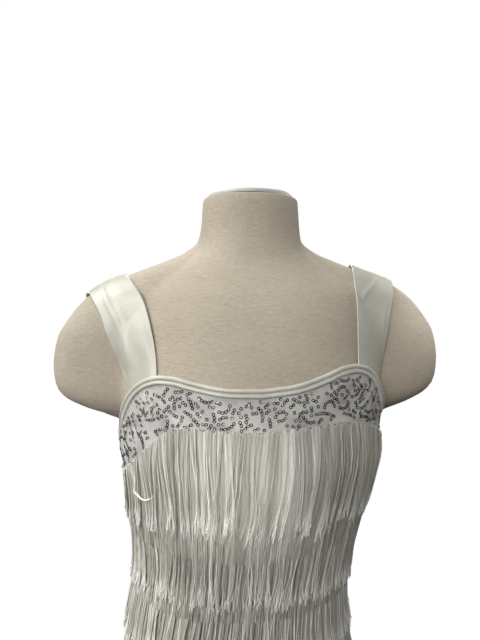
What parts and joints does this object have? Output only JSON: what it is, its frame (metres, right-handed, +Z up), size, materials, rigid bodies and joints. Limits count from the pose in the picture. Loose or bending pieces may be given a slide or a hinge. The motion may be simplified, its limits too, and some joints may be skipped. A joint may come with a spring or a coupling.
{
  "type": "flapper dress on a dress form",
  "caption": "Sleeveless sheath dress with a sequined yoke, bound top edge, wide ribbon straps and tiers of fringe, worn by a limbless dress form on a pole and round base.",
  "frame": {"origin": "on the floor, at the middle of the underside of the round base", "axes": "+Z up along the pole, +X to the wearer's left, the front of the dress faces -Y"},
  "size_m": [0.362, 0.28, 0.7923],
  "materials": {
    "linen": "natural linen cover, slubbed plain weave, matt",
    "painted_steel": "off-white satin paint",
    "sequin_cloth": "white stretch knit with silver ring sequins",
    "stretch_cloth": "off-white stretch knit, soft sheen",
    "binding": "folded off-white binding with two rows of stitching",
    "satin": "off-white satin ribbon",
    "fringe": "off-white silky rayon threads"
  },
  "bodies": {
    "root": {"form_torso": "linen", "neck_cap": "painted_steel", "stand_pole": "painted_steel", "stand_base": "painted_steel", "sheath_front": "stretch_cloth", "sheath_back": "stretch_cloth", "yoke_front": "sequin_cloth", "yoke_back": "sequin_cloth", "binding_front": "binding", "binding_back": "binding", "strap_left": "satin", "strap_right": "satin", "fringe_row_1": "fringe", "fringe_row_2": "fringe", "fringe_row_3": "fringe", "fringe_row_4": "fringe", "fringe_row_5": "fringe", "fringe_row_6": "fringe", "fringe_row_7": "fringe"}
  },
  "joints": []
}
